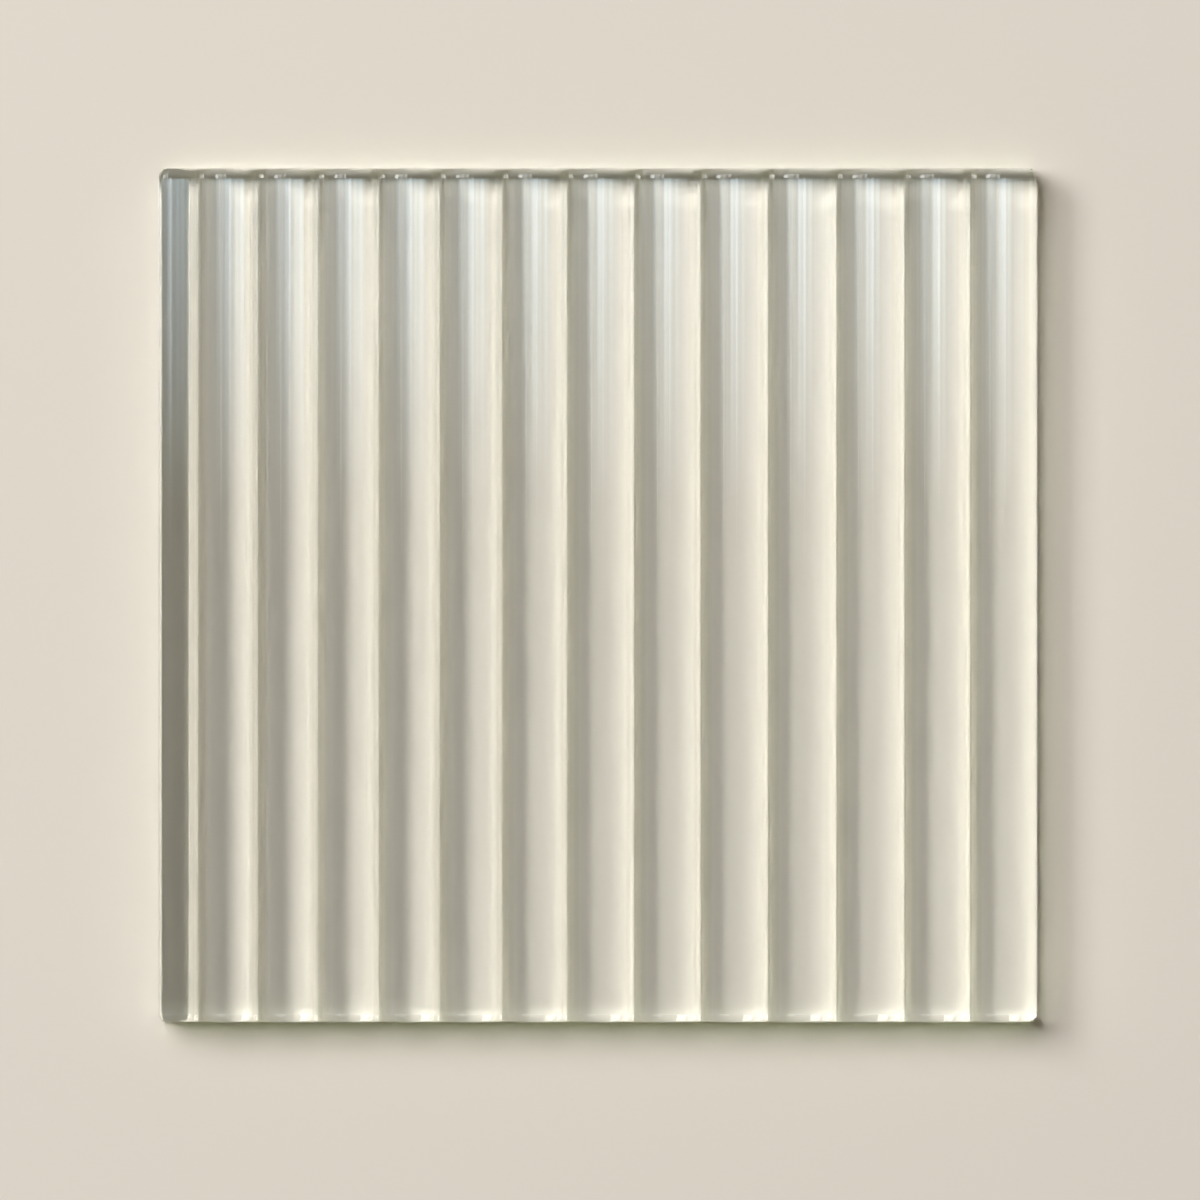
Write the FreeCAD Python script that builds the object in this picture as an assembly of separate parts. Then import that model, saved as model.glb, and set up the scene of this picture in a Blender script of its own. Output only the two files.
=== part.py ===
"""Reeded glass sample: a square-cut pane of clear cast glass, flat below and reeded on top.

Millimetres. X runs across the reeds, Y along them and +Z up from the flat back, which lies
on z = 0. The origin is the centre of the back.
"""

import FreeCAD
import Part

import math
import os

from FreeCAD import Vector

# Overall sizes
pane_length = 100.0  # along the reeds
pane_thickness = 5.6  # from the back to the crowns of the reeds

# Reeds, from the first side to the last, each from valley to valley. They grow wider across
# the pane. The first side is cut through the first reed, and the last side along a valley.
reed_widths = [6.95, 6.97, 7.03, 7.14, 7.14, 7.32, 7.61, 7.85, 7.79, 7.90, 8.02, 7.96, 7.67, 7.79]
first_reed_cut_off = 2.32  # what the cut takes off the first reed
reed_depth = 1.70  # crown to valley
valley_radius = 1.40  # concave round between two reeds

# Softened edges
side_edge_radius = 1.15  # along the two cut sides, reeded face
end_edge_radius = 1.10  # over the ends of the reeds and down the four corners
back_edge_radius = 0.40  # round the flat back

tiny = 1e-6  # what counts as no distance at all

pane_width = sum(reed_widths) - first_reed_cut_off
valley_z = pane_thickness - reed_depth
near_y = -pane_length / 2
wall_x = pane_width / 2


def valley_places():
    """X of each valley, the last of them at the last side."""
    places = [-wall_x - first_reed_cut_off + reed_widths[0]]
    for width in reed_widths[1:]:
        places.append(places[-1] + width)
    return places


def crown_shape(width):
    """Radius of a reed's crown, and the slope angle where it meets the valley rounds."""
    slope = 2 * math.atan(reed_depth / (width / 2))
    return width / 2 / math.sin(slope) - valley_radius, slope


def on_circle(centre, radius, angle):
    """Point (x, z) of a circle at an angle from straight up, positive towards +X."""
    return centre[0] + radius * math.sin(angle), centre[1] + radius * math.cos(angle)


def arc(centre, radius, start, end):
    """Edge of the section along a circle between two angles from straight up."""
    places = [on_circle(centre, radius, angle) for angle in (start, (start + end) / 2, end)]
    return Part.Arc(*[Vector(x, near_y, z) for x, z in places]).toShape()


def line(start, end):
    """Straight edge between two points (x, z) of the section."""
    return Part.LineSegment(*[Vector(x, near_y, z) for x, z in (start, end)]).toShape()


def first_side_round(crown_centre, crown_radius):
    """Centre of the round that joins the first side to a crown, and the angle where they meet."""
    across = crown_centre[0] - (side_edge_radius - wall_x)
    reach = crown_radius - side_edge_radius
    centre = (side_edge_radius - wall_x, crown_centre[1] + math.sqrt(reach**2 - across**2))
    return centre, -math.asin(across / reach)


def last_side_round(valley_centre):
    """Centre of the round that joins a valley to the last side, and the angle where they meet."""
    across = valley_centre[0] - (wall_x - side_edge_radius)
    reach = valley_radius + side_edge_radius
    centre = (wall_x - side_edge_radius, valley_centre[1] - math.sqrt(reach**2 - across**2))
    return centre, math.asin(across / reach)


def reeded_edges():
    """Edges of the reeded face from wall to wall, and the two heights where it meets the walls."""
    edges = []
    crown_from = 0.0
    first_wall_z = 0.0
    last_wall_z = 0.0
    valleys = valley_places()
    for number, (width, valley_x) in enumerate(zip(reed_widths, valleys)):
        radius, slope = crown_shape(width)
        crown_centre = (valley_x - width / 2, pane_thickness - radius)
        valley_centre = (valley_x, valley_z + valley_radius)
        crown_from = -slope
        if number == 0:
            round_centre, crown_from = first_side_round(crown_centre, radius)
            first_wall_z = round_centre[1]
            edges.append(arc(round_centre, side_edge_radius, -math.pi / 2, crown_from))
        edges.append(arc(crown_centre, radius, crown_from, slope))
        if number < len(reed_widths) - 1:
            next_slope = crown_shape(reed_widths[number + 1])[1]
            edges.append(arc(valley_centre, valley_radius, math.pi + slope, math.pi - next_slope))
        else:
            round_centre, meet = last_side_round(valley_centre)
            last_wall_z = round_centre[1]
            edges.append(arc(valley_centre, valley_radius, math.pi + slope, math.pi + meet))
            edges.append(arc(round_centre, side_edge_radius, meet, math.pi / 2))
    return edges, first_wall_z, last_wall_z


def section():
    """Face of the pane's section at its near end."""
    face_edges, first_wall_z, last_wall_z = reeded_edges()
    first_foot = (-wall_x, 0.0)
    last_foot = (wall_x, 0.0)
    first_wall = line(first_foot, (-wall_x, first_wall_z))
    last_wall = line((wall_x, last_wall_z), last_foot)
    return Part.Face(Part.Wire([first_wall, *face_edges, last_wall, line(last_foot, first_foot)]))


def is_end_edge(edge):
    """True for an edge of an end that stands clear of the back."""
    return edge.BoundBox.YLength < tiny and edge.BoundBox.ZMax > tiny


def is_back_edge(edge):
    """True for an edge of the flat back."""
    return edge.BoundBox.ZMax < tiny


def pane():
    """The whole pane: its section drawn out along the reeds, with its edges softened."""
    body = section().extrude(Vector(0, pane_length, 0))
    body = body.makeFillet(end_edge_radius, [edge for edge in body.Edges if is_end_edge(edge)])
    return body.makeFillet(back_edge_radius, [edge for edge in body.Edges if is_back_edge(edge)])


os.makedirs("parts", exist_ok=True)
pane().exportStep("parts/reeded_glass_pane.step")
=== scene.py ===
"""Studio view of a reeded glass sample lying on a pale floor. Metres, +Z up, the part's own frame."""

import math

import bmesh
import bpy
from mathutils import Matrix, Vector


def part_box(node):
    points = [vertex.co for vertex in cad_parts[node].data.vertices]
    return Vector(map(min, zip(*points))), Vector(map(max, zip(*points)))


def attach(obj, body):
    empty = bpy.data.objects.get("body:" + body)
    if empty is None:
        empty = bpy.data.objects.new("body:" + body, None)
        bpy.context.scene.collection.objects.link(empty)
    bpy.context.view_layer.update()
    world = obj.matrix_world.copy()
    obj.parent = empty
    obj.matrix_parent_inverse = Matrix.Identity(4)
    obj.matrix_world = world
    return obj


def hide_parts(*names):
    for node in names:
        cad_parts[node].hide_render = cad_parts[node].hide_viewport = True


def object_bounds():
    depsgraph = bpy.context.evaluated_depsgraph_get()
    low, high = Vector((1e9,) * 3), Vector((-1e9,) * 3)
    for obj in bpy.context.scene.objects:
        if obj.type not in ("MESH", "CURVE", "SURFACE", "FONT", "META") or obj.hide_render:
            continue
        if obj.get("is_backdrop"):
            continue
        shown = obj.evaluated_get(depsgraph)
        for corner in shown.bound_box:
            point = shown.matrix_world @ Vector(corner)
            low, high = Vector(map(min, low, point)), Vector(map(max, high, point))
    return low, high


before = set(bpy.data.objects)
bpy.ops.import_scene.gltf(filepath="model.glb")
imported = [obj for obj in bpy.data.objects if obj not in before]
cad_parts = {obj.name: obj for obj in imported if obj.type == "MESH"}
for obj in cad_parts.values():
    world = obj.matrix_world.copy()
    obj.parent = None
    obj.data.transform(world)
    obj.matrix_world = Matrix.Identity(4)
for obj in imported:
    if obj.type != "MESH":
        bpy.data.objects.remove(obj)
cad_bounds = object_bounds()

MM = 0.001
PANE = "reeded_glass_pane"
SLOT = "clear_glass"

# The reeds of the pane, from the first side to the last, each from valley to valley
REED_WIDTHS = [
    w * MM for w in (6.95, 6.97, 7.03, 7.14, 7.14, 7.32, 7.61, 7.85, 7.79, 7.90, 8.02, 7.96, 7.67, 7.79)
]
REED_DEPTH = 1.70 * MM
VALLEY_RADIUS = 1.40 * MM
SIDE_EDGE_RADIUS = 1.15 * MM
END_EDGE_RADIUS = 1.10 * MM
BACK_EDGE_RADIUS = 0.40 * MM

# The fine crease that the roller leaves along the bottom of each valley
CREASE_DEPTH = 0.35 * MM
CREASE_WIDTH = 0.12 * MM
CREASE_REACH = REED_DEPTH * 1.1

# How finely the glass is cut into faces
CROWN_STEPS = 36
VALLEY_STEPS = 44
SIDE_STEPS = 16
BACK_EDGE_STEPS = 6
END_STEPS = 14
LENGTH_STEPS = 24
END_GUARDS = (1.1, 1.5)
JOIN_DISTANCE = 0.001 * MM

# Glass
GLASS_IOR = 1.52
GLASS_TINT = (0.70, 0.88, 0.50)
GLASS_DENSITY = 8.5
DRAW_LINE_HEIGHT = 0.002 * MM
DRAW_LINE_SCALE = 900.0
DRAW_LINE_DETAIL = 1.0
DRAW_LINE_STRETCH = 0.02

# Floor
FLOOR_COLOUR = (0.74, 0.69, 0.62)
FLOOR_ROUGHNESS = 0.9
FLOOR_SHINE = 0.2
FLOOR_HALF_SIZE = 1.5
FLOOR_GAP = 0.05 * MM

# Camera
CAMERA_HEIGHT = 3000.0 * MM
CAMERA_X = 0.3 * MM
CAMERA_Y = -0.55 * MM
VIEW_WIDTH = 140.5 * MM
SENSOR_WIDTH = 36.0

# The room: a warm fill, and the backdrop that the glass mirrors and lets through
FILL_COLOUR = (1.0, 0.80, 0.48)
FILL_STRENGTH = 0.10
BACKDROP_COLOUR = (0.92, 0.95, 0.90)
BACKDROP_STRENGTH = 0.80

# How often light may be turned inside the glass
LIGHT_BOUNCES = 32

# Studio lamps. Each panel leans over the reeds by an angle in degrees, positive to the right, and
# faces the line through the middle of the pane. Its near edge is how far along the reeds it starts.
PANEL_DISTANCE = 2.5
DAYLIGHT = (1.0, 1.0, 1.0)
COOL = (0.66, 0.84, 1.0)
PANELS = {
    "low_left": {"lean": -55, "wide": 0.60, "long": 1.6, "near": 0.18, "turned": 0, "brightness": 13.6},
    "left_wash": {"lean": -40, "wide": 0.88, "long": 2.2, "near": 0.18, "turned": 0, "brightness": 4.8},
    "left_high": {"lean": -28, "wide": 0.44, "long": 2.2, "near": 0.18, "turned": 0, "brightness": 2.6},
    "key": {"lean": -15, "wide": 0.44, "long": 2.2, "near": 0.18, "turned": 0, "brightness": 7.8},
    "top": {"lean": 8.3, "wide": 0.37, "long": 0.37, "near": 0.004, "turned": 45, "brightness": 2.8},
}
TUBES = {
    "tubes_over": {"lean": 0.5, "wide": 1.10, "long": 0.10, "near": 0.02, "turned": 0, "brightness": 8.0},
    "tubes_right": {"lean": 58.0, "wide": 1.60, "long": 0.10, "near": 0.02, "turned": 0, "brightness": 4.0},
    "tubes_between": {"lean": 27.0, "wide": 1.30, "long": 0.10, "near": 0.03, "turned": 0, "brightness": 2.6},
}
TUBE_COUNT = 5.0
TUBE_CONTRAST = 1.2
TUBE_LEAST = 0.4


def crown_shape(width):
    """Radius of a reed's crown, and the slope angle where it meets the valley rounds."""
    slope = 2 * math.atan(REED_DEPTH / (width / 2))
    return width / 2 / math.sin(slope) - VALLEY_RADIUS, slope


def side_round(centre_x, reach, side_x, inside):
    """Where the round from a side lies: its x, its height off the next arc's centre, and their angle."""
    round_x = side_x + inside * SIDE_EDGE_RADIUS
    across = abs(centre_x - round_x)
    return round_x, math.sqrt(reach**2 - across**2), math.asin(across / reach)


def turn(bm, vert, centre, angle, steps):
    """Draws an arc on from a vertex, in the plane of the section, and returns its last vertex."""
    drawn = bmesh.ops.spin(
        bm, geom=[vert], cent=centre, axis=(0, 1, 0), angle=angle, steps=steps, use_merge=False
    )
    return next(g for g in drawn["geom_last"] if isinstance(g, bmesh.types.BMVert))


def run(bm, vert, x, z):
    """Draws a straight edge on from a vertex to (x, z), and returns its last vertex."""
    drawn = bmesh.ops.extrude_vert_indiv(bm, verts=[vert])
    end = drawn["verts"][0]
    end.co = (x, vert.co.y, z)
    return end


def draw_section(bm, low, high):
    """Draws the pane's section at the low end of the box as one closed line, from its first foot."""

    def curve(tip, x, z, angle, steps):
        return turn(bm, tip, (x, low.y, z), angle, steps)

    quarter = math.pi / 2
    valley_z = high.z - REED_DEPTH + VALLEY_RADIUS
    valley_x = high.x - sum(REED_WIDTHS[1:])
    radius, slope = crown_shape(REED_WIDTHS[0])
    crown_x = valley_x - REED_WIDTHS[0] / 2
    round_x, rise, meet = side_round(crown_x, radius - SIDE_EDGE_RADIUS, low.x, 1)
    meet = math.copysign(meet, round_x - crown_x)
    round_z = high.z - radius + rise

    foot = bm.verts.new((low.x, low.y, low.z + BACK_EDGE_RADIUS))
    tip = run(bm, foot, low.x, round_z)
    tip = curve(tip, round_x, round_z, quarter + meet, SIDE_STEPS)
    tip = curve(tip, crown_x, high.z - radius, slope - meet, CROWN_STEPS)
    for width in REED_WIDTHS[1:]:
        next_radius, next_slope = crown_shape(width)
        tip = curve(tip, valley_x, valley_z, -(slope + next_slope), VALLEY_STEPS)
        tip = curve(tip, valley_x + width / 2, high.z - next_radius, 2 * next_slope, CROWN_STEPS)
        valley_x += width
        slope = next_slope

    round_x, fall, meet = side_round(high.x, VALLEY_RADIUS + SIDE_EDGE_RADIUS, high.x, -1)
    tip = curve(tip, high.x, valley_z, meet - slope, VALLEY_STEPS)
    tip = curve(tip, round_x, valley_z - fall, quarter - meet, SIDE_STEPS)
    tip = run(bm, tip, high.x, low.z + BACK_EDGE_RADIUS)
    tip = curve(tip, high.x - BACK_EDGE_RADIUS, low.z + BACK_EDGE_RADIUS, quarter, BACK_EDGE_STEPS)
    tip = run(bm, tip, low.x + BACK_EDGE_RADIUS, low.z)
    curve(tip, low.x + BACK_EDGE_RADIUS, low.z + BACK_EDGE_RADIUS, quarter, BACK_EDGE_STEPS)
    bmesh.ops.remove_doubles(bm, verts=bm.verts, dist=JOIN_DISTANCE)


def walk(bm):
    """The vertices of the closed line, in order round it."""
    bm.verts.ensure_lookup_table()
    start = bm.verts[0]
    ring = [start]
    edge = start.link_edges[0]
    while True:
        vert = edge.other_vert(ring[-1])
        if vert is start:
            return ring
        ring.append(vert)
        edge = next(e for e in vert.link_edges if e is not edge)


def rounding(radius, depth):
    """How far a rounded edge has fallen back at a depth from the end."""
    if depth >= radius:
        return 0.0
    return radius - math.sqrt(radius**2 - (radius - depth) ** 2)


def crease(co, high):
    """How deep the crease of the nearest valley is at a point of the section."""
    if co.z < high.z - CREASE_REACH:
        return 0.0
    valleys = [high.x - sum(REED_WIDTHS[n:]) for n in range(1, len(REED_WIDTHS))]
    across = min(abs(co.x - valley) for valley in valleys)
    return CREASE_DEPTH * math.exp(-((across / CREASE_WIDTH) ** 2))


def outward(ring):
    """Unit normal of the section at each vertex, pointing out of the glass."""
    normals = []
    for before, after in zip([ring[-1]] + ring[:-1], ring[1:] + [ring[0]]):
        along = (after.co - before.co).normalized()
        normals.append(Vector((-along.z, 0, along.x)))
    centre = sum((v.co for v in ring), Vector()) / len(ring)
    if sum(n.dot(v.co - centre) for n, v in zip(normals, ring)) < 0:
        normals = [-n for n in normals]
    return normals


def stations(low, high):
    """Depth-and-place pairs along the reeds: the rounded ends and the run between them."""
    ends = [END_EDGE_RADIUS * (1 - math.cos(math.pi / 2 * n / END_STEPS)) for n in range(END_STEPS + 1)]
    ends += [END_EDGE_RADIUS * share for share in END_GUARDS]
    near = [low.y + depth for depth in ends]
    far = [high.y - depth for depth in reversed(ends)]
    span = far[0] - near[-1]
    middle = [near[-1] + span * n / LENGTH_STEPS for n in range(1, LENGTH_STEPS)]
    return near + middle + far


def glass_pane():
    """The glass with its true rounds, drawn out along the reeds from its section."""
    low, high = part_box(PANE)
    bm = bmesh.new()
    draw_section(bm, low, high)
    ring = walk(bm)
    normals = outward(ring)
    shape = [v.co.copy() for v in ring]

    def shape_ring(verts, y):
        depth = min(y - low.y, high.y - y)
        face_fall = rounding(END_EDGE_RADIUS, depth)
        back_fall = rounding(BACK_EDGE_RADIUS, depth)
        for vert, co, n in zip(verts, shape, normals):
            vertical = face_fall if n.z > 0 else back_fall
            vert.co = (co.x - n.x * face_fall, y, co.z - n.z * vertical)

    for co in shape:
        co.z -= crease(co, high)
    places = stations(low, high)
    shape_ring(ring, places[0])
    near_edges = far_edges = list(bm.edges)
    for y in places[1:]:
        drawn = bmesh.ops.extrude_edge_only(bm, edges=far_edges)["geom"]
        far_edges = [g for g in drawn if isinstance(g, bmesh.types.BMEdge)]
        ring = follow(ring, drawn)
        shape_ring(ring, y)
    bmesh.ops.edgeloop_fill(bm, edges=near_edges)
    bmesh.ops.edgeloop_fill(bm, edges=far_edges)
    bmesh.ops.recalc_face_normals(bm, faces=bm.faces)
    if bm.calc_volume(signed=True) < 0:
        bmesh.ops.reverse_faces(bm, faces=bm.faces)
    mesh = bpy.data.meshes.new("glass")
    bm.to_mesh(mesh)
    bm.free()
    mesh.shade_smooth()
    piece = bpy.data.objects.new("glass", mesh)
    bpy.context.scene.collection.objects.link(piece)
    return piece


def follow(ring, drawn):
    """The vertices that an extrusion drew from a ring, in the ring's order."""
    new = {g for g in drawn if isinstance(g, bmesh.types.BMVert)}
    followed = []
    for vert in ring:
        followed.append(next(e.other_vert(vert) for e in vert.link_edges if e.other_vert(vert) in new))
    return followed


def glass_material():
    """Clear glass with faint lines drawn along the reeds and a grey-green depth."""
    material = bpy.data.materials.new(SLOT)
    material.use_nodes = True
    nodes, links = material.node_tree.nodes, material.node_tree.links
    shader = nodes["Principled BSDF"]
    shader.inputs["Base Color"].default_value = (1, 1, 1, 1)
    shader.inputs["Roughness"].default_value = 0.0
    shader.inputs["IOR"].default_value = GLASS_IOR
    shader.inputs["Transmission Weight"].default_value = 1.0
    place = nodes.new("ShaderNodeTexCoord")
    stretch = nodes.new("ShaderNodeMapping")
    stretch.inputs["Scale"].default_value = (1.0, DRAW_LINE_STRETCH, 1.0)
    lines = nodes.new("ShaderNodeTexNoise")
    lines.inputs["Scale"].default_value = DRAW_LINE_SCALE
    lines.inputs["Detail"].default_value = DRAW_LINE_DETAIL
    bump = nodes.new("ShaderNodeBump")
    bump.inputs["Strength"].default_value = 1.0
    bump.inputs["Distance"].default_value = DRAW_LINE_HEIGHT
    links.new(place.outputs["Object"], stretch.inputs["Vector"])
    links.new(stretch.outputs["Vector"], lines.inputs["Vector"])
    links.new(lines.outputs["Fac"], bump.inputs["Height"])
    links.new(bump.outputs["Normal"], shader.inputs["Normal"])
    depth = nodes.new("ShaderNodeVolumeAbsorption")
    depth.inputs["Color"].default_value = (*GLASS_TINT, 1)
    depth.inputs["Density"].default_value = GLASS_DENSITY
    links.new(depth.outputs["Volume"], nodes["Material Output"].inputs["Volume"])
    return material


def floor():
    """A plain pale floor under the pane."""
    material = bpy.data.materials.new("pale_floor")
    material.use_nodes = True
    shader = material.node_tree.nodes["Principled BSDF"]
    shader.inputs["Base Color"].default_value = (*FLOOR_COLOUR, 1)
    shader.inputs["Roughness"].default_value = FLOOR_ROUGHNESS
    shader.inputs["Specular IOR Level"].default_value = FLOOR_SHINE
    bm = bmesh.new()
    bmesh.ops.create_grid(bm, x_segments=1, y_segments=1, size=FLOOR_HALF_SIZE)
    mesh = bpy.data.meshes.new("floor")
    bm.to_mesh(mesh)
    bm.free()
    mesh.materials.append(material)
    piece = bpy.data.objects.new("floor", mesh)
    bpy.context.scene.collection.objects.link(piece)
    piece.location.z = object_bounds()[0][2] - FLOOR_GAP
    return piece


def panel(name, colour, lean, wide, long, near, turned, brightness):
    """A flat soft lamp, given back as its data."""
    data = bpy.data.lights.new(name, "AREA")
    data.shape = "RECTANGLE"
    data.size = wide
    data.size_y = long
    data.energy = brightness * math.pi * wide * long
    data.color = colour
    holder = bpy.data.objects.new(name, data)
    lean, turned = math.radians(lean), math.radians(turned)
    half_length = (wide * math.sin(turned) + long * math.cos(turned)) / 2
    holder.location = Vector((math.sin(lean), 0, math.cos(lean))) * PANEL_DISTANCE
    holder.location.y = near + half_length
    holder.rotation_euler = (Matrix.Rotation(lean, 3, "Y") @ Matrix.Rotation(turned, 3, "Z")).to_euler()
    holder.visible_camera = False
    bpy.context.scene.collection.objects.link(holder)
    return data


def make_tubes(data):
    """Makes a panel a row of soft tubes that brighten steadily from the near ends to the far ones."""
    data.use_nodes = True
    nodes, links = data.node_tree.nodes, data.node_tree.links
    place = nodes.new("ShaderNodeNewGeometry")
    split = nodes.new("ShaderNodeSeparateXYZ")
    row = nodes.new("ShaderNodeMath")
    row.operation = "MULTIPLY"
    row.inputs[1].default_value = TUBE_COUNT
    tube = nodes.new("ShaderNodeMath")
    tube.operation = "PINGPONG"
    tube.inputs[1].default_value = 0.5
    bright = nodes.new("ShaderNodeMath")
    bright.operation = "MULTIPLY_ADD"
    bright.inputs[1].default_value = TUBE_CONTRAST
    bright.inputs[2].default_value = TUBE_LEAST
    both = nodes.new("ShaderNodeMath")
    both.operation = "MULTIPLY"
    links.new(place.outputs["Parametric"], split.inputs["Vector"])
    links.new(split.outputs["X"], row.inputs[0])
    links.new(row.outputs["Value"], tube.inputs[0])
    links.new(tube.outputs["Value"], bright.inputs[0])
    links.new(bright.outputs["Value"], both.inputs[0])
    links.new(split.outputs["Y"], both.inputs[1])
    links.new(both.outputs["Value"], nodes["Emission"].inputs["Strength"])


def room():
    """Warm fill light, and a pale backdrop for what the glass mirrors and lets through."""
    world = bpy.data.worlds.new("room")
    world.use_nodes = True
    nodes, links = world.node_tree.nodes, world.node_tree.links
    fill = nodes["Background"]
    fill.inputs["Color"].default_value = (*FILL_COLOUR, 1)
    fill.inputs["Strength"].default_value = FILL_STRENGTH
    backdrop = nodes.new("ShaderNodeBackground")
    backdrop.inputs["Color"].default_value = (*BACKDROP_COLOUR, 1)
    backdrop.inputs["Strength"].default_value = BACKDROP_STRENGTH
    path = nodes.new("ShaderNodeLightPath")
    kinds = nodes.new("ShaderNodeMath")
    kinds.operation = "MAXIMUM"
    through = nodes.new("ShaderNodeMath")
    through.operation = "MAXIMUM"
    unscattered = nodes.new("ShaderNodeMath")
    unscattered.operation = "LESS_THAN"
    unscattered.inputs[1].default_value = 0.5
    seen = nodes.new("ShaderNodeMath")
    seen.operation = "MULTIPLY"
    choice = nodes.new("ShaderNodeMixShader")
    links.new(path.outputs["Is Camera Ray"], kinds.inputs[0])
    links.new(path.outputs["Is Glossy Ray"], kinds.inputs[1])
    links.new(kinds.outputs["Value"], through.inputs[0])
    links.new(path.outputs["Is Transmission Ray"], through.inputs[1])
    links.new(path.outputs["Diffuse Depth"], unscattered.inputs[0])
    links.new(through.outputs["Value"], seen.inputs[0])
    links.new(unscattered.outputs["Value"], seen.inputs[1])
    links.new(seen.outputs["Value"], choice.inputs["Fac"])
    links.new(fill.outputs["Background"], choice.inputs[1])
    links.new(backdrop.outputs["Background"], choice.inputs[2])
    links.new(choice.outputs["Shader"], nodes["World Output"].inputs["Surface"])
    return world


def studio():
    """The room, the lamps, and the camera looking straight down."""
    scene = bpy.context.scene
    scene.world = room()
    for name, sizes in PANELS.items():
        panel(name, DAYLIGHT, **sizes)
    for name, sizes in TUBES.items():
        make_tubes(panel(name, COOL, **sizes))
    scene.cycles.blur_glossy = 0.0
    scene.cycles.max_bounces = LIGHT_BOUNCES
    scene.cycles.transmission_bounces = LIGHT_BOUNCES
    scene.cycles.glossy_bounces = LIGHT_BOUNCES

    data = bpy.data.cameras.new("camera")
    data.sensor_width = SENSOR_WIDTH
    data.lens = data.sensor_width * CAMERA_HEIGHT / VIEW_WIDTH
    camera = bpy.data.objects.new("camera", data)
    camera.location = (CAMERA_X, CAMERA_Y, cad_bounds[1][2] + CAMERA_HEIGHT)
    scene.collection.objects.link(camera)
    scene.camera = camera
    scene.view_settings.view_transform = "Standard"


pane = glass_pane()
pane.data.materials.append(glass_material())
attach(pane, "root")
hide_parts(PANE)
floor()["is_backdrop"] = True
studio()
